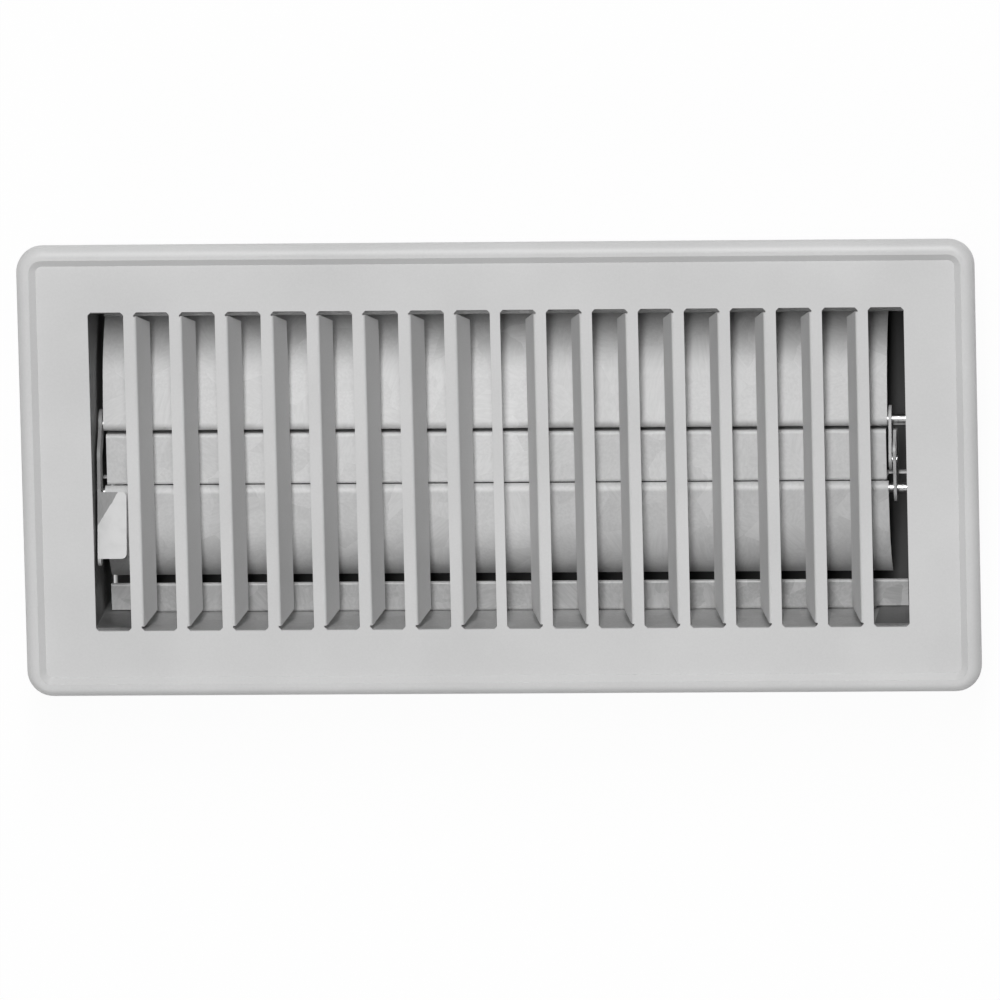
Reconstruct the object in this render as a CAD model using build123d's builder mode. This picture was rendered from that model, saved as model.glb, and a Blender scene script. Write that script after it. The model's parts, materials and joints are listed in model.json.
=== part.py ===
from build123d import *
import os
from math import atan2, cos, degrees, radians, sin

os.makedirs("parts", exist_ok=True)

# Frame: X along the register, +Y to the rear, +Z up; Z = 0 is the finished floor. Millimetres.

# Face
face_length = 292.1
face_width = 139.7
face_corner = 8.0
face_sheet = 0.9
rim_height = 4.9
rim_round = 3.0
dish_depth = 1.4
dish_start = 4.0
dish_end = 6.0
field_top = rim_height - dish_depth
field_under = field_top - face_sheet

# Can
end_border = 21.45
side_border = 20.35
can_sheet = 0.7
can_bottom = -52.0
flange = 8.0
flange_bend = 1.1
corner_tab = 11.0
end_half = face_length / 2 - end_border
wall_half = face_width / 2 - side_border

# Slots and fins
slot_count = 18
slot_width = 10.9
slot_length = 2 * wall_half
slot_margin = 0.15
slot_pitch = (2 * (end_half - slot_margin) - slot_width) / (slot_count - 1)
slot_corner = 0.9
fin_turn = 70.0
fin_straight = 9.2
fin_relief = 1.4
fin_slant = 3.6

# Damper
hinge_offset = 10.7
hinge_z = -19.0
rod_radius = 1.5
running = 0.05
snug = 0.02
leaf_sheet = 0.6
lever_end_gap = 1.8
crank_end_gap = 7.2
rear_edge_gap = 5.4
front_edge_gap = 8.8
leaf_left = end_half - lever_end_gap
leaf_right = end_half - crank_end_gap
leaf_curl = 28.0
leaf_curl_turn = 46.0
rest_tilt = 11.0
knuckle_in = rod_radius + snug
knuckle_out = knuckle_in + leaf_sheet

# Centre strip
strip_clear = 0.68
strip_half = hinge_offset - knuckle_out - strip_clear
strip_top = -18.6
strip_depth = 13.6
strip_shift = -0.5
strip_inset = 0.6
strip_left = leaf_left - strip_inset
strip_right = leaf_right - strip_inset
tongue_top = -29.4

# Ledges
ledge_sheet = 0.6
rear_ledge_reach = 6.4
front_ledge_reach = 9.3
ledge_rise = 0.1
ledge_end_gap = 2.2
ledge_notch = 1.0
tab_room = 1.1
ledge_half = end_half - ledge_end_gap
ledge_leg_half = end_half - corner_tab - tab_room
ledge_root_z = -24.5
ledge_leg = 7.5
ledge_curl = 0.8

# Cranks: the pin stands on the middle plane half way through the leaves' travel
half_travel = 27.0
rest_turn = -17.0
pin_rise = 6.2
pin_radius = 1.2
pin_play = 0.12
crank_sheet = 0.9
crank_wall = 2.0
crank_gap = 0.35
crank_hub = 4.2
fork_reach = 18.2
crank_clear = 0.5
rear_crank_x = leaf_right + crank_clear
front_crank_x = rear_crank_x + crank_sheet + crank_gap

# Lever
lever_sheet = 1.0
lever_width = 6.0
lever_hub = 4.5
lever_elbow = (-8.0, 8.0)
lever_elbow_round = 4.0
washer_room = 0.6
washer_bore = 1.9
washer_half = 4.3
washer_band = 0.8
lever_x = washer_room - end_half
pad_width = slot_width - 2.0
pad_round = 1.5
pad_near = (-18.6, 9.0)
pad_far = (-38.5, 13.5)

# Fasteners
rivet_radius = 1.5
rivet_head = 2.4
rivet_head_height = 0.5
nut_half = 3.2
nut_height = 0.6
corner_rivet_inset = 6.5
rod_half = end_half + can_sheet + 0.9


def hinge_plane(x, side, turn):
    """A plane across the hinge at side * hinge_offset, turned about it by turn degrees."""
    turn = radians(turn)
    return Plane(
        origin=(x, side * hinge_offset, hinge_z),
        x_dir=(0, cos(turn), sin(turn)),
        z_dir=(1, 0, 0),
    )


# Face: a dished sheet inside a rounded rim that stands on the floor
with BuildPart() as dish:
    for drop, inset in ((0, dish_start), (dish_depth, dish_end)):
        with BuildSketch(Plane.XY.offset(rim_height - drop)):
            RectangleRounded(face_length - 2 * inset, face_width - 2 * inset, face_corner - inset)
    loft(ruled=True)

with BuildPart() as hollow:
    with BuildSketch():
        RectangleRounded(
            face_length - 2 * face_sheet, face_width - 2 * face_sheet, face_corner - face_sheet
        )
    extrude(amount=rim_height - face_sheet)
    fillet(hollow.faces().sort_by(Axis.Z)[-1].edges(), rim_round - face_sheet)
    with Locations((0, 0, -face_sheet)):
        add(dish.part, mode=Mode.SUBTRACT)

fin_lean = radians(90 - fin_turn)
fin_along = Vector(sin(fin_lean), -cos(fin_lean)) * fin_straight
fin_across = Vector(cos(fin_lean), sin(fin_lean)) * face_sheet
with BuildPart() as fin:
    with BuildSketch(Plane.XZ):
        with BuildLine():
            under_bend = Vector(0, field_under)
            over_bend = under_bend + fin_across
            Line((-0.5, field_top), (0, field_top))
            RadiusArc((0, field_top), over_bend, face_sheet)
            Polyline(
                over_bend,
                over_bend + fin_along,
                under_bend + fin_along,
                under_bend,
                (-0.5, field_under),
                (-0.5, field_top),
            )
        make_face()
    extrude(amount=slot_length, both=True)
    fin_low = (under_bend + fin_along).Y - 0.5
    fin_root = slot_length / 2 - fin_relief
    with BuildSketch(Plane.YZ):
        with BuildLine():
            Polyline(
                (-fin_root, field_top + 0.1),
                (fin_root, field_top + 0.1),
                (fin_root, field_under),
                (fin_root - fin_slant, fin_low),
                (fin_slant - fin_root, fin_low),
                (-fin_root, field_under),
                close=True,
            )
        make_face()
    extrude(amount=slot_pitch, both=True, mode=Mode.INTERSECT)

with BuildPart() as face_plate:
    with BuildSketch():
        RectangleRounded(face_length, face_width, face_corner)
    extrude(amount=rim_height)
    fillet(face_plate.faces().sort_by(Axis.Z)[-1].edges(), rim_round)
    add(dish.part, mode=Mode.SUBTRACT)
    add(hollow.part, mode=Mode.SUBTRACT)
    with BuildSketch(Plane.XY.offset(field_under)):
        with GridLocations(slot_pitch, 0, slot_count, 1):
            slots = Rectangle(slot_width, slot_length)
        chamfer(slots.vertices(), slot_corner)
    extrude(amount=face_sheet, mode=Mode.SUBTRACT)
    finned = slot_count // 2 - 1
    first_edge = -(slot_count - 3) / 2 * slot_pitch - slot_width / 2
    with Locations(*[(first_edge + i * slot_pitch, 0, 0) for i in range(finned)]):
        add(fin.part)
    turned = mirror(fin.part, about=Plane.YZ, mode=Mode.PRIVATE)
    with Locations(*[(-first_edge - i * slot_pitch, 0, 0) for i in range(finned)]):
        add(turned)
face_plate.part.label = "face_plate"
export_step(face_plate.part, "parts/face_plate.step")

# Can: two long walls between two end plates, all flanged under the face
rivet_z = -36.0
corner_rivet_x = end_half - corner_rivet_inset
with BuildPart() as rear_wall:
    with BuildSketch(Plane.YZ):
        with BuildLine():
            FilletPolyline(
                (wall_half, can_bottom),
                (wall_half, field_under),
                (wall_half + flange, field_under),
                radius=flange_bend,
            )
            offset(amount=can_sheet, side=Side.RIGHT)
        make_face()
    extrude(amount=end_half - 0.2, both=True)
    with BuildSketch(Plane.XZ.offset(-wall_half)):
        with Locations((-corner_rivet_x, rivet_z), (corner_rivet_x, rivet_z)):
            Circle(rivet_radius + snug)
    extrude(amount=-can_sheet, mode=Mode.SUBTRACT)
rear_wall.part.label = "rear_wall"
export_step(rear_wall.part, "parts/rear_wall.step")

with BuildPart() as front_wall:
    mirror(rear_wall.part, about=Plane.XZ)
front_wall.part.label = "front_wall"
export_step(front_wall.part, "parts/front_wall.step")

with BuildPart() as right_end_plate:
    with BuildSketch(Plane.XY.offset(can_bottom)):
        with BuildLine():
            FilletPolyline(
                (end_half - corner_tab, wall_half),
                (end_half + can_sheet, wall_half),
                (end_half + can_sheet, -wall_half),
                (end_half - corner_tab, -wall_half),
                radius=flange_bend,
            )
            offset(amount=can_sheet, side=Side.RIGHT)
        make_face()
    extrude(amount=field_under - can_sheet - can_bottom - 0.4)
    with BuildSketch(Plane.XZ):
        with BuildLine():
            FilletPolyline(
                (end_half, field_under - 3 * flange_bend),
                (end_half, field_under),
                (end_half + flange, field_under),
                radius=flange_bend,
            )
            offset(amount=can_sheet, side=Side.RIGHT)
        make_face()
    extrude(amount=wall_half - 1.5, both=True)
    tongue_low = strip_top - strip_depth
    with BuildSketch(Plane.YZ.offset(end_half)):
        for side in (-1, 1):
            with Locations((side * hinge_offset, hinge_z)):
                Circle(rod_radius + running)
            tongue_y = side * (strip_half - leaf_sheet / 2) + strip_shift
            with Locations((tongue_y, (tongue_top + tongue_low) / 2)):
                Rectangle(leaf_sheet + 2 * snug, tongue_top - tongue_low + 2 * snug)
    extrude(amount=can_sheet, mode=Mode.SUBTRACT)
    with BuildSketch(Plane.XZ):
        with Locations((corner_rivet_x, rivet_z)):
            Circle(rivet_radius + snug)
    extrude(amount=wall_half + 1, both=True, mode=Mode.SUBTRACT)
right_end_plate.part.label = "right_end_plate"
export_step(right_end_plate.part, "parts/right_end_plate.step")

with BuildPart() as left_end_plate:
    mirror(right_end_plate.part, about=Plane.YZ)
left_end_plate.part.label = "left_end_plate"
export_step(left_end_plate.part, "parts/left_end_plate.step")

# Ledges: folded strips inside the long walls, with a curled lip, notched round the corner tabs
def ledge(reach):
    """A ledge on the rear wall that reaches so far in from it."""
    with BuildPart() as strip:
        with BuildSketch(Plane.YZ):
            with BuildLine():
                slope = FilletPolyline(
                    (wall_half, ledge_root_z - ledge_leg),
                    (wall_half, ledge_root_z),
                    (wall_half - reach + ledge_curl, ledge_root_z + ledge_rise * reach),
                    radius=flange_bend,
                )
                JernArc(slope @ 1, slope % 1, ledge_curl, 120)
                offset(amount=ledge_sheet, side=Side.LEFT)
            make_face()
        extrude(amount=ledge_half, both=True)
        with BuildSketch(Plane.XY.offset(ledge_root_z - ledge_leg)):
            for side in (-1, 1):
                with Locations((side * (ledge_leg_half + ledge_half) / 2, wall_half - ledge_notch / 2)):
                    Rectangle(ledge_half - ledge_leg_half, ledge_notch)
        extrude(amount=2 * ledge_leg, mode=Mode.SUBTRACT)
    return strip.part


with BuildPart() as rear_stop_ledge:
    add(ledge(rear_ledge_reach))
rear_stop_ledge.part.label = "rear_stop_ledge"
export_step(rear_stop_ledge.part, "parts/rear_stop_ledge.step")

with BuildPart() as front_stop_ledge:
    mirror(ledge(front_ledge_reach), about=Plane.XZ)
front_stop_ledge.part.label = "front_stop_ledge"
export_step(front_stop_ledge.part, "parts/front_stop_ledge.step")

# Centre strip: a channel whose side tongues pass through the end plates
with BuildPart() as centre_strip:
    with BuildSketch(Plane.YZ):
        with BuildLine():
            FilletPolyline(
                (strip_shift - strip_half, strip_top - strip_depth),
                (strip_shift - strip_half, strip_top),
                (strip_shift + strip_half, strip_top),
                (strip_shift + strip_half, strip_top - strip_depth),
                radius=flange_bend,
            )
            offset(amount=leaf_sheet, side=Side.RIGHT)
        make_face()
    extrude(amount=end_half + can_sheet + 0.6, both=True)
    with BuildSketch(Plane.XY.offset(tongue_top)):
        for side, end in ((-1, strip_left), (1, strip_right)):
            with Locations((side * (end + rod_half) / 2, strip_shift)):
                Rectangle(rod_half - end, 2 * strip_half)
    extrude(amount=strip_top - tongue_top, mode=Mode.SUBTRACT)
centre_strip.part.label = "centre_strip"
export_step(centre_strip.part, "parts/centre_strip.step")

# Leaves: sheets rolled round the rods, their outer edges curled down, at rest a little open
def leaf(edge_gap):
    """A leaf on the rear rod that ends so far short of the wall when level."""
    leaf_flat = wall_half - edge_gap - hinge_offset - leaf_curl * sin(radians(leaf_curl_turn))
    with BuildPart() as sheet:
        with BuildSketch(hinge_plane(-leaf_left, 1, -rest_tilt)):
            with BuildLine():
                flat = Line((0, knuckle_out), (leaf_flat, knuckle_out))
                JernArc(flat @ 1, flat % 1, leaf_curl, -leaf_curl_turn)
                offset(amount=leaf_sheet, side=Side.RIGHT)
            make_face()
            Circle(knuckle_out)
            Circle(knuckle_in, mode=Mode.SUBTRACT)
        extrude(amount=leaf_left + leaf_right)
    return sheet.part


with BuildPart() as rear_leaf:
    add(leaf(rear_edge_gap))
rear_leaf.part.label = "rear_leaf"
export_step(rear_leaf.part, "parts/rear_leaf.step")

with BuildPart() as front_leaf:
    mirror(leaf(front_edge_gap), about=Plane.XZ)
front_leaf.part.label = "front_leaf"
export_step(front_leaf.part, "parts/front_leaf.step")

# Rods, with push nuts outside the end plates
for name, side in (("rear", 1), ("front", -1)):
    with BuildPart() as rod:
        with BuildSketch(hinge_plane(0, side, 0)):
            Circle(rod_radius)
        extrude(amount=rod_half, both=True)
    rod.part.label = name + "_hinge_rod"
    export_step(rod.part, "parts/" + name + "_hinge_rod.step")
    with BuildPart() as nuts:
        with BuildSketch(hinge_plane(end_half + can_sheet + running, side, 0)):
            Rectangle(2 * nut_half, 2 * nut_half)
            Circle(knuckle_in, mode=Mode.SUBTRACT)
        extrude(amount=nut_height)
        mirror(about=Plane.YZ)
    nuts.part.label = name + "_push_nuts"
    export_step(nuts.part, "parts/" + name + "_push_nuts.step")

# Cranks: the rear one carries the drive pin, the front one is a fork whose cam slot the pin runs in
pin_angle = atan2(pin_rise, -hinge_offset) - radians(rest_turn)
pin_arm = (pin_rise**2 + hinge_offset**2) ** 0.5
pin_place = (pin_arm * cos(pin_angle), pin_arm * sin(pin_angle))
with BuildPart() as rear_crank:
    with BuildSketch(hinge_plane(rear_crank_x, 1, 0)):
        Circle(crank_hub)
        with Locations(pin_place):
            Circle(pin_radius + crank_wall)
        make_hull()
        Circle(knuckle_in, mode=Mode.SUBTRACT)
        with Locations(pin_place):
            Circle(pin_radius + snug, mode=Mode.SUBTRACT)
    extrude(amount=crank_sheet)
rear_crank.part.label = "rear_crank"
export_step(rear_crank.part, "parts/rear_crank.step")

with BuildPart() as drive_pin:
    with BuildSketch(hinge_plane(rear_crank_x, 1, 0)):
        with Locations(pin_place):
            Circle(pin_radius)
    extrude(amount=2 * crank_sheet + crank_gap + 0.3)
drive_pin.part.label = "drive_pin"
export_step(drive_pin.part, "parts/drive_pin.step")

cam_points = []
for step in range(-4, 5):
    a = radians(step / 4 * (half_travel + 1))
    cam_points.append(
        Vector(
            2 * hinge_offset * cos(a) - hinge_offset * cos(2 * a) + pin_rise * sin(2 * a),
            -2 * hinge_offset * sin(a) + hinge_offset * sin(2 * a) + pin_rise * cos(2 * a),
        )
    )
cam_half = pin_radius + pin_play
cam_edges = {1: [], -1: []}
for i, point in enumerate(cam_points):
    along = (cam_points[min(i + 1, 8)] - cam_points[max(i - 1, 0)]).normalized()
    for side, edge in cam_edges.items():
        edge.append(point + along.rotate(Axis.Z, 90 * side) * cam_half)
cam_start = cam_points[0] - (cam_points[1] - cam_points[0]).normalized() * cam_half
cam_mouth = (cam_points[-1] - cam_points[-2]).normalized() * 5
with BuildPart() as front_crank:
    with BuildSketch(hinge_plane(front_crank_x, -1, rest_turn)):
        Circle(crank_hub)
        with Locations(cam_points[0], cam_points[4], cam_points[-1]):
            Circle(pin_radius + crank_wall)
        make_hull()
        Circle(fork_reach, mode=Mode.INTERSECT)
        Circle(knuckle_in, mode=Mode.SUBTRACT)
        with BuildLine():
            Spline(*cam_edges[1])
            Polyline(
                cam_edges[1][-1],
                cam_edges[1][-1] + cam_mouth,
                cam_edges[-1][-1] + cam_mouth,
                cam_edges[-1][-1],
            )
            Spline(*cam_edges[-1])
            ThreePointArc(cam_edges[-1][0], cam_start, cam_edges[1][0])
        make_face(mode=Mode.SUBTRACT)
    extrude(amount=crank_sheet)
front_crank.part.label = "front_crank"
export_step(front_crank.part, "parts/front_crank.step")

# Lever: a strap on the rear rod with a thumb pad folded over the end of the leaves
pad_slope = atan2(pad_far[1] - pad_near[1], pad_near[0] - pad_far[0])
with BuildPart() as operating_lever:
    with BuildSketch(hinge_plane(lever_x, 1, 0)):
        with BuildLine():
            arm = FilletPolyline((0, 0), lever_elbow, pad_near, pad_far, radius=lever_elbow_round)
        SlotArc(arm, lever_width)
        Circle(lever_hub)
        Circle(knuckle_in, mode=Mode.SUBTRACT)
    extrude(amount=lever_sheet)
    pad_frame = Plane(
        origin=(lever_x, hinge_offset + pad_far[0], hinge_z + pad_far[1]),
        x_dir=(1, 0, 0),
        z_dir=(0, sin(pad_slope), cos(pad_slope)),
    )
    pad_length = ((pad_far[0] - pad_near[0]) ** 2 + (pad_far[1] - pad_near[1]) ** 2) ** 0.5
    with BuildSketch(pad_frame.offset(lever_width / 2 - lever_sheet)):
        with Locations((pad_width / 2, pad_length / 2 - 1)):
            pad = Rectangle(pad_width, pad_length)
        fillet(pad.vertices().group_by(Axis.X)[-1], pad_round)
    extrude(amount=lever_sheet)
operating_lever.part.label = "operating_lever"
export_step(operating_lever.part, "parts/operating_lever.step")

# Coned washer between the lever and the left end plate
with BuildPart() as friction_washer:
    with BuildSketch(Plane.XY):
        with BuildLine():
            Polyline(
                (-end_half, washer_bore),
                (-end_half, washer_bore + washer_band),
                (lever_x - running, washer_half),
                (lever_x - running, washer_half - washer_band),
                close=True,
            )
        make_face()
    revolve(axis=Axis.X)
    friction_washer.part = Pos(0, hinge_offset, hinge_z) * friction_washer.part
friction_washer.part.label = "friction_washer"
export_step(friction_washer.part, "parts/friction_washer.step")

# Rivets through the long walls, flush inside
with BuildPart() as corner_rivets:
    for x in (-corner_rivet_x, corner_rivet_x):
        with BuildSketch(Plane(origin=(x, wall_half - can_sheet, rivet_z), z_dir=(0, 1, 0))):
            Circle(rivet_radius)
        extrude(amount=2 * can_sheet)
        with BuildSketch(Plane(origin=(x, wall_half + can_sheet, rivet_z), z_dir=(0, 1, 0))):
            Circle(rivet_head)
        extrude(amount=rivet_head_height)
    mirror(about=Plane.XZ)
corner_rivets.part.label = "corner_rivets"
export_step(corner_rivets.part, "parts/corner_rivets.step")
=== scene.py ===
import json

import bpy
from mathutils import Matrix, Vector


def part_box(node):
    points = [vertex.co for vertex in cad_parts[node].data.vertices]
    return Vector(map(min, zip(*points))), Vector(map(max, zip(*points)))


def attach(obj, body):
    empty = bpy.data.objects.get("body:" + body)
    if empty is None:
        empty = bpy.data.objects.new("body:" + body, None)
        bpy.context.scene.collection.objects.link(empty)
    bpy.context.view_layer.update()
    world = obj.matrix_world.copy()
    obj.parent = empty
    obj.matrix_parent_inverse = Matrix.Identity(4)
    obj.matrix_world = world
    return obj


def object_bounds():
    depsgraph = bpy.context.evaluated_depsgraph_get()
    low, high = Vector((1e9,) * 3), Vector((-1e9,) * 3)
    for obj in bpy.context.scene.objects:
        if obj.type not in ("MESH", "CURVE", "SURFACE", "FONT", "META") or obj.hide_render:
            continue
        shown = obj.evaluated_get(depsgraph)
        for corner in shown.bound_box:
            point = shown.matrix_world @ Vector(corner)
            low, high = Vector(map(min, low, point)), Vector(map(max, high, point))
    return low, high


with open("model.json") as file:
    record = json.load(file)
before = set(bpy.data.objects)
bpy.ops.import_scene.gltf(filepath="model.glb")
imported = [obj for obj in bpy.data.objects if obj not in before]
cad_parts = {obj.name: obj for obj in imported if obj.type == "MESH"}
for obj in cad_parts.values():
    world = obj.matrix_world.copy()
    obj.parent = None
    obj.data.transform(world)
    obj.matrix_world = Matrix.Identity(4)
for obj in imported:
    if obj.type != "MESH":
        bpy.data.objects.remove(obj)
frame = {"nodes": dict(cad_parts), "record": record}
cad_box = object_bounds()
nodes = frame["nodes"]

# The can, in metres, from the boxes of its pieces
sheet_thickness = 0.0007
flange_width = 0.008
ledge_low, ledge_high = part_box("rear_stop_ledge")
wall_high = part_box("rear_wall")[1]
end_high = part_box("right_end_plate")[1]
can_half_width = ledge_high.y + sheet_thickness
can_half_length = end_high.x - flange_width + sheet_thickness

# The white dip on the lever: where its edge crosses the middle of the thumb pad, and its slant
lever_low, lever_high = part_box("operating_lever")
lever_middle = (lever_low.x + lever_high.x) / 2
dip_line = -0.0112
dip_slant = 1.6

# Spot welds: low rings that the electrodes left on the walls and under the flanges
mark_radius = 0.0026
mark_height = 0.00025
mark_ring = 0.0005
mark_hollow = 0.00022
mark_sides = 24
mark_smooth_angle = 0.6
ledge_weld_rise = 0.0035
flange_weld_inset = 0.0033
long_side_welds = (-0.1, -0.05, 0.0, 0.05, 0.1)
short_side_welds = (-0.03, 0.03)

# Camera: far off, above the face, leaning to the rear and a little to the right
image_pixels = 1000
focal_pixels = 19708.0
sensor_width = 36.0
camera_distance = 6.0
camera_reach = 20.0
camera_turn = Vector((0.1956, -0.0864, 0.0147))
aim_offset = (0.00018, -0.009887)

# Floor and surround
floor_size = 30.0
floor_gap = 0.0002
floor_glow = 0.96
patch_edge = 0.985
surround_strength = 0.09


class Flow:
    """A socket's value, which Python arithmetic can work on."""

    def __init__(self, sheet, socket):
        self.sheet = sheet
        self.socket = socket

    def combine(self, operation, first, second):
        return self.sheet.node("ShaderNodeMath", {"operation": operation}, {0: first, 1: second})

    def __add__(self, other):
        return self.combine("ADD", self, other)

    __radd__ = __add__

    def __sub__(self, other):
        return self.combine("SUBTRACT", self, other)

    def __rsub__(self, other):
        return self.combine("SUBTRACT", other, self)

    def __mul__(self, other):
        return self.combine("MULTIPLY", self, other)

    __rmul__ = __mul__

    def __truediv__(self, other):
        return self.combine("DIVIDE", self, other)

    def __abs__(self):
        return self.combine("ABSOLUTE", self, 0.0)

    def most(self, other):
        return self.combine("MAXIMUM", self, other)


class Finish:
    """A material and the node sheet that it is drawn on."""

    def __init__(self, name, **constants):
        self.material = bpy.data.materials.new(name)
        self.material.use_nodes = True
        self.tree = self.material.node_tree
        self.tree.nodes.clear()
        self.output = self.tree.nodes.new("ShaderNodeOutputMaterial")
        self.shader = self.tree.nodes.new("ShaderNodeBsdfPrincipled")
        self.tree.links.new(self.shader.outputs[0], self.output.inputs["Surface"])
        self.surface(**constants)

    def node(self, kind, settings=None, sockets=None, out=0):
        """Any other node: its type, its settings, its sockets' values or links, and the output to use."""
        made = self.tree.nodes.new(kind)
        for key, value in (settings or {}).items():
            if key == "stops":
                for element, (place, level) in zip(made.color_ramp.elements, value):
                    element.position = place
                    element.color = (level, level, level, 1.0)
            else:
                setattr(made, key, value)
        for key, value in (sockets or {}).items():
            self.feed(made.inputs[key], value)
        return Flow(self, made.outputs[out])

    def feed(self, socket, value):
        if isinstance(value, Flow):
            self.tree.links.new(value.socket, socket)
        else:
            socket.default_value = value

    def surface(self, **sockets):
        for key, value in sockets.items():
            self.feed(self.shader.inputs[key.replace("_", " ")], value)

    def place(self, stretch=(1, 1, 1)):
        at = self.node("ShaderNodeTexCoord", out="Object")
        return self.stretched(at, stretch)

    def stretched(self, at, stretch):
        return self.node("ShaderNodeMapping", {}, {"Vector": at, "Scale": stretch})

    def axes(self):
        at = self.node("ShaderNodeTexCoord", out="Object")
        split = self.node("ShaderNodeSeparateXYZ", {}, {0: at}).socket.node
        return [Flow(self, socket) for socket in split.outputs]

    def noise(self, at, scale=1.0, detail=3.0):
        return self.node("ShaderNodeTexNoise", {}, {"Vector": at, "Scale": scale, "Detail": detail})

    def cells(self, at, scale):
        return self.node("ShaderNodeTexVoronoi", {}, {"Vector": at, "Scale": scale}, "Color")

    def vector(self, operation, *terms):
        return self.node("ShaderNodeVectorMath", {"operation": operation}, dict(enumerate(terms)))

    def ramp(self, value, low, high):
        """0 below low, 1 above high, and even between them."""
        return self.node("ShaderNodeValToRGB", {"stops": ((low, 0.0), (high, 1.0))}, {0: value})

    def blend(self, factor, first, second):
        colours = {"Factor": factor, 6: first, 7: second}
        return self.node("ShaderNodeMix", {"data_type": "RGBA"}, colours, 2)

    def tint(self, factor, low, high):
        return self.blend(factor, (*low, 1.0), (*high, 1.0))

    def bump(self, height, strength, distance=0.0002):
        sockets = {"Strength": strength, "Distance": distance, "Height": height}
        return self.node("ShaderNodeBump", {}, sockets)


def grey(level):
    """A linear grey from its display level."""
    linear = ((level + 0.055) / 1.055) ** 2.4
    return (linear, linear, linear)


def face_enamel():
    """Satin enamel: faint clouds and specks, with the orange peel of a sprayed coat."""
    finish = Finish("satin_grey_enamel", IOR=1.5, Specular_IOR_Level=0.45)
    at = finish.place()
    cloudy = finish.noise(at, scale=22.0)
    speck = finish.noise(at, scale=1500.0, detail=1.0)
    peel = finish.noise(at, scale=620.0, detail=2.0)
    rub = finish.noise(finish.place((90, 900, 900)))
    shade = finish.ramp(cloudy * 0.75 + speck * 0.25, 0.3, 0.7)
    finish.surface(
        Base_Color=finish.tint(shade, grey(0.79), grey(0.83)),
        Roughness=0.36 + 0.10 * rub + 0.05 * cloudy,
        Normal=finish.bump(peel, strength=0.10),
    )
    return finish.material


def galvanised_sheet(name, level, spread, metal, rough, spangle):
    """Zinc-coated sheet: feathered crystals of the coating over faint rolling lines."""
    crystal_drift = 0.0028
    full_turn = 6.28
    feather_stretch = (120, 1300, 1300)
    rolling_stretch = (14, 900, 900)
    finish = Finish(name, Metallic=metal)
    at = finish.place()
    drift = finish.noise(at, scale=160.0, detail=2.0)
    shifted = finish.vector("MULTIPLY_ADD", drift, 3 * (crystal_drift,), at)
    crystal = finish.cells(shifted, spangle)
    crystal_tone = finish.node("ShaderNodeRGBToBW", {}, {0: crystal})
    heading = finish.vector("MULTIPLY", crystal, 3 * (full_turn,))
    turned = finish.node(
        "ShaderNodeVectorRotate", {"rotation_type": "EULER_XYZ"}, {"Vector": at, "Rotation": heading}
    )
    feather = finish.ramp(finish.noise(finish.stretched(turned, feather_stretch)), 0.36, 0.64)
    rolled = finish.noise(finish.place(rolling_stretch))
    stain = finish.noise(at, scale=18.0, detail=4.0)
    tone = 0.46 * crystal_tone + 0.22 * feather + 0.16 * rolled + 0.16 * stain
    shade = finish.ramp(tone, 0.28, 0.72)
    finish.surface(
        Base_Color=finish.tint(shade, grey(level - spread), grey(level + spread)),
        Roughness=rough + 0.14 * crystal_tone + 0.06 * feather - 0.09,
        Normal=finish.bump(0.4 * feather + 0.6 * rolled, strength=0.08),
    )
    return finish.material


def bright_steel():
    """Zinc-plated steel with the lines of drawing along it."""
    finish = Finish("zinc_plated_steel", Metallic=1.0)
    drawn = finish.noise(finish.place((40, 2500, 2500)))
    dull = finish.noise(finish.place(), scale=300.0)
    finish.surface(
        Base_Color=finish.tint(0.6 * drawn + 0.4 * dull, grey(0.70), grey(0.86)),
        Roughness=0.24 + 0.16 * dull + 0.08 * drawn,
        Normal=finish.bump(drawn, strength=0.08, distance=0.0001),
    )
    return finish.material


def lever_finish():
    """Zinc-plated strap whose thumb pad is dipped in white enamel, a little handled."""
    finish = Finish("dipped_lever", IOR=1.5, Specular_IOR_Level=0.3)
    at = finish.place()
    along, across, _ = finish.axes()
    waver = finish.noise(at, scale=420.0, detail=2.0)
    past_line = dip_line - across + dip_slant * (along - lever_middle)
    dip = finish.ramp(past_line * 900.0 + 1.2 * waver, 0.5, 0.7)
    bare = 1.0 - dip
    cloudy = finish.noise(at, scale=60.0)
    peel = finish.noise(at, scale=800.0, detail=2.0)
    handled = finish.ramp(finish.noise(at, scale=240.0, detail=4.0), 0.52, 0.72)
    drawn = finish.noise(finish.place((2500, 160, 2500)))
    white = finish.tint(0.55 * cloudy + 0.45 * handled, grey(0.83), grey(0.77))
    zinc = finish.tint(0.7 * drawn + 0.3 * cloudy, grey(0.48), grey(0.62))
    finish.surface(
        Base_Color=finish.blend(dip, zinc, white),
        Metallic=bare * 0.3,
        Roughness=0.46 + 0.10 * handled + bare * 0.14,
        Normal=finish.bump(peel, strength=0.08),
    )
    return finish.material


def weld_tint():
    """Sheet that the electrodes have burnished and the weld's heat has tinted."""
    blued = (0.24, 0.25, 0.27)
    strawed = (0.50, 0.49, 0.47)
    finish = Finish("heat_tinted_weld", Metallic=0.5)
    at = finish.place()
    ring = finish.noise(at, scale=700.0)
    stain = finish.noise(at, scale=150.0, detail=2.0)
    finish.surface(
        Base_Color=finish.tint(0.6 * ring + 0.4 * stain, blued, strawed),
        Roughness=0.30 + 0.2 * ring,
        Normal=finish.bump(ring, strength=0.15),
    )
    return finish.material


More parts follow.
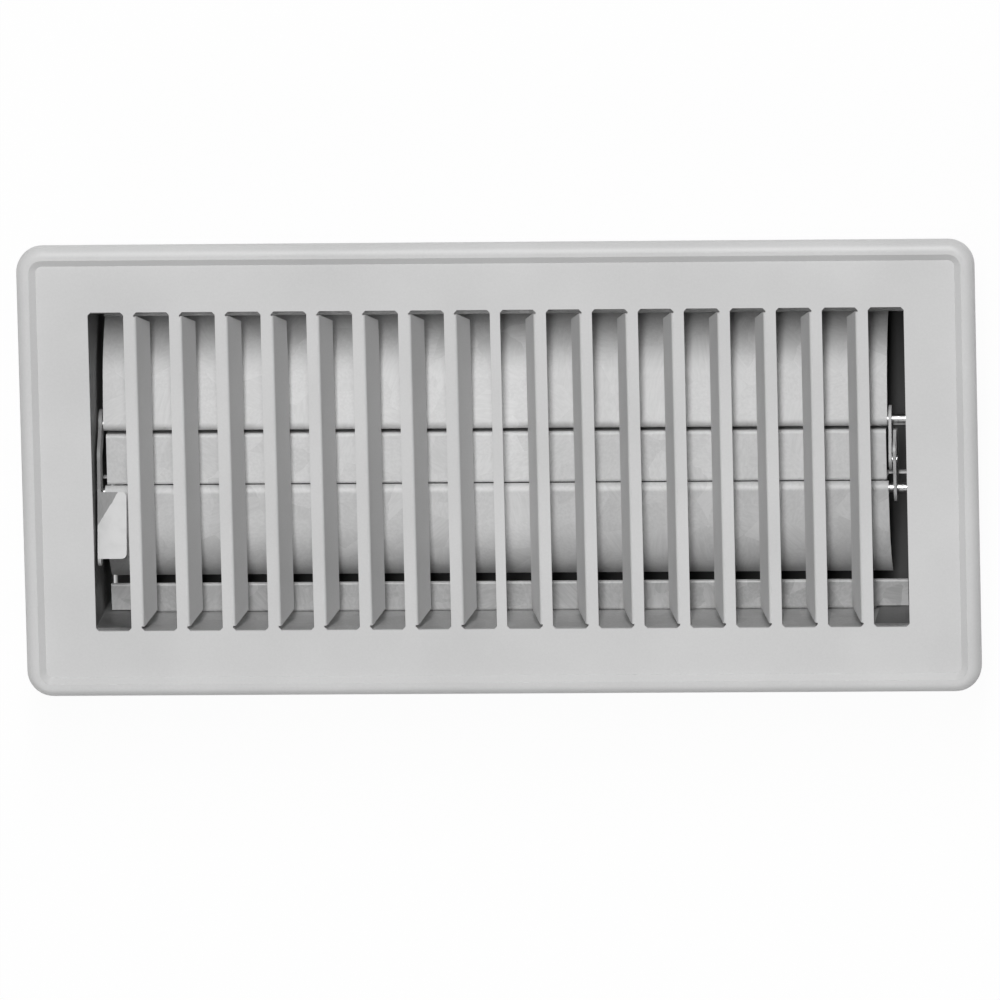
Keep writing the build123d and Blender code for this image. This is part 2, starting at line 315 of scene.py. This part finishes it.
# Finishes by the record's slots; the end plates get a darker grey of their own, which is painted shade for
# the dark inside the can's ends
finishes = {
    "face_enamel": face_enamel(),
    "galvanised": galvanised_sheet(
        "dull_galvanised", level=0.69, spread=0.045, metal=0.20, rough=0.52, spangle=130.0
    ),
    "damper_leaf": galvanised_sheet(
        "bright_galvanised", level=0.81, spread=0.03, metal=0.10, rough=0.60, spangle=95.0
    ),
    "bright_steel": bright_steel(),
    "lever_enamel": lever_finish(),
}
# Painted shade: the end plates' sheet is darker than the rest of the can, standing in for the shade on
# their inner faces
end_plate_painted_shade_finish = galvanised_sheet(
    "galvanised_darkened_as_painted_shade", level=0.43, spread=0.045, metal=0.25, rough=0.52, spangle=130.0
)
weld_finish = weld_tint()
for row in frame["record"]["subparts"]:
    finish = finishes[row["material_slot"]]
    if row["node"].endswith("end_plate"):
        finish = end_plate_painted_shade_finish
    for slot in nodes[row["node"]].material_slots:
        slot.material = finish


def weld_mark():
    """One ring at the origin, its top facing up."""
    bpy.ops.object.select_all(action="DESELECT")
    bpy.ops.mesh.primitive_circle_add(vertices=mark_sides, radius=mark_radius, fill_type="NGON")
    bpy.ops.object.mode_set(mode="EDIT")
    bpy.ops.mesh.select_all(action="SELECT")
    bpy.ops.mesh.extrude_region_move(TRANSFORM_OT_translate={"value": (0, 0, mark_height)})
    bpy.ops.mesh.inset(thickness=mark_ring)
    bpy.ops.mesh.inset(thickness=mark_ring, depth=-mark_hollow)
    bpy.ops.mesh.select_all(action="SELECT")
    bpy.ops.mesh.normals_make_consistent(inside=False)
    bpy.ops.object.mode_set(mode="OBJECT")
    return bpy.context.object


def weld_marks(name, places):
    """Rings at each place, their tops facing the direction that goes with it."""
    first = weld_mark()
    copies = []
    for place, outwards in places:
        mark = first.copy()
        mark.data = first.data.copy()
        bpy.context.scene.collection.objects.link(mark)
        facing = Vector(outwards).to_track_quat("Z", "Y").to_matrix().to_4x4()
        mark.matrix_world = Matrix.Translation(place) @ facing
        copies.append(mark)
    bpy.data.objects.remove(first)
    bpy.ops.object.select_all(action="DESELECT")
    for mark in copies:
        mark.select_set(True)
    bpy.context.view_layer.objects.active = copies[0]
    bpy.ops.object.transform_apply(location=True, rotation=True, scale=True)
    bpy.ops.object.join()
    joined = bpy.context.object
    joined.name = name
    joined.data.materials.append(weld_finish)
    bpy.ops.object.shade_smooth_by_angle(angle=mark_smooth_angle)
    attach(joined, "frame")


ledge_weld_height = ledge_low.z + ledge_weld_rise
flange_underside = wall_high.z - sheet_thickness
on_walls = []
on_flanges = []
for side in (-1, 1):
    for along in long_side_welds:
        on_walls.append(((along, side * can_half_width, ledge_weld_height), (0, side, 0)))
        on_flanges.append(((along, side * (wall_high.y - flange_weld_inset), flange_underside), (0, 0, -1)))
    for across in short_side_welds:
        on_flanges.append(((side * (end_high.x - flange_weld_inset), across, flange_underside), (0, 0, -1)))
weld_marks("ledge_weld_marks", on_walls)
weld_marks("flange_weld_marks", on_flanges)

to_camera = Matrix.Rotation(camera_turn.length, 3, camera_turn.normalized())
camera_data = bpy.data.cameras.new("camera")
camera_data.sensor_width = sensor_width
camera_data.lens = sensor_width * focal_pixels / image_pixels
camera_data.clip_end = camera_reach
camera = bpy.data.objects.new("camera", camera_data)
camera.matrix_world = to_camera.inverted().to_4x4() @ Matrix.Translation((*aim_offset, camera_distance))
bpy.context.scene.collection.objects.link(camera)
bpy.context.scene.camera = camera

# Floor: pale, brought up to white where it is seen, and painted dark grey below the open can as painted
# shade
bpy.ops.object.select_all(action="DESELECT")
bpy.ops.mesh.primitive_plane_add(size=floor_size, location=(0, 0, cad_box[0].z - floor_gap))
floor = bpy.context.object
floor.name = "pale_floor"
ground = Finish("pale_ground", Roughness=0.8, Specular_IOR_Level=0.2)
along, across, _ = ground.axes()
outside = (abs(along) / can_half_length).most(abs(across) / can_half_width)
beside_can = ground.ramp(outside, patch_edge, 1.0)
# Painted shade: inside the can's footprint the floor's colour is dark grey, standing in for the shade under
# the can
ground.surface(Base_Color=ground.tint(beside_can, grey(0.3), grey(0.95)))
seen = ground.node("ShaderNodeLightPath", out="Is Camera Ray")
mirrored = ground.node("ShaderNodeLightPath", out="Is Glossy Ray")
glow = ground.node("ShaderNodeEmission", {}, {"Color": (1, 1, 1, 1), "Strength": 1.0})
lit = Flow(ground, ground.shader.outputs[0])
lift = seen.most(mirrored) * beside_can * floor_glow
lifted = ground.node("ShaderNodeMixShader", {}, {0: lift, 1: lit, 2: glow})
ground.feed(ground.output.inputs["Surface"], lifted)
floor.data.materials.append(ground.material)


def area_lamp(name, towards, distance, width, depth, energy):
    """A rectangular lamp in the given direction from the origin, which it faces."""
    data = bpy.data.lights.new(name, "AREA")
    data.shape = "RECTANGLE"
    data.size = width
    data.size_y = depth
    data.energy = energy
    lamp = bpy.data.objects.new(name, data)
    lamp.location = Vector(towards).normalized() * distance
    lamp.rotation_mode = "QUATERNION"
    lamp.rotation_quaternion = lamp.location.to_track_quat("Z", "Y")
    bpy.context.scene.collection.objects.link(lamp)


# Light: a long soft lamp above the rear, a weak one from the front left, and an even surround
area_lamp("key_lamp", (0.05, 0.50, 1.0), distance=5.0, width=0.45, depth=3.8, energy=211.0)
area_lamp("fill_lamp", (-0.4, -0.8, 1.0), distance=4.0, width=1.6, depth=1.6, energy=32.0)

world = bpy.data.worlds.new("surround")
world.use_nodes = True
background = world.node_tree.nodes["Background"]
background.inputs["Color"].default_value = (1, 1, 1, 1)
background.inputs["Strength"].default_value = surround_strength
bpy.context.scene.world = world
bpy.context.scene.view_settings.view_transform = "Standard"
